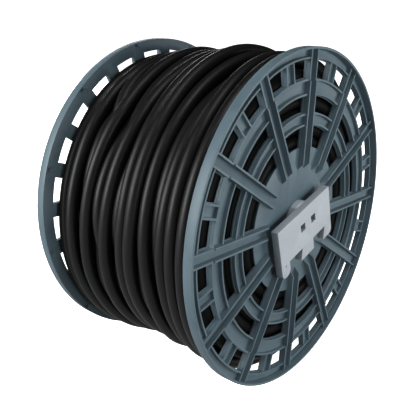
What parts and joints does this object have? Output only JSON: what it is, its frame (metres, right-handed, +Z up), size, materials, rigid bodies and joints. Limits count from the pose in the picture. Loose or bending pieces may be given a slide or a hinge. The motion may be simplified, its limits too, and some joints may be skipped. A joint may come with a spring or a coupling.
{
  "type": "moulded plastic cable drum with wound cable",
  "caption": "Plastic cable drum lying on its ribbed round flanges, wound full with black cable, with a light grey hooked bearing plate that swivels in the hub.",
  "frame": {"origin": "on the floor under the drum, below the middle of its overall length and its axis", "axes": "+Y along the drum's axis towards the rear flange, -Y out of the front flange with the plate, +Z up"},
  "size_m": [0.4, 0.2476, 0.4],
  "materials": {
    "drum_plastic": "grey-blue moulded plastic, fine satin surface",
    "plate_plastic": "light grey moulded plastic, satin surface",
    "cable_jacket": "black cable jacket, satin, lightly scuffed"
  },
  "bodies": {
    "drum": {"flange_front": "drum_plastic", "flange_rear": "drum_plastic", "barrel": "drum_plastic", "cable_winding": "cable_jacket"},
    "bearing_plate": {"bearing_plate": "plate_plastic"}
  },
  "joints": [
    {"name": "plate_swivel", "type": "hinge", "parent": "drum", "child": "bearing_plate", "pos_m": [0, -0.10495, 0.2], "axis": [0, 1, 0], "continuous": true}
  ]
}
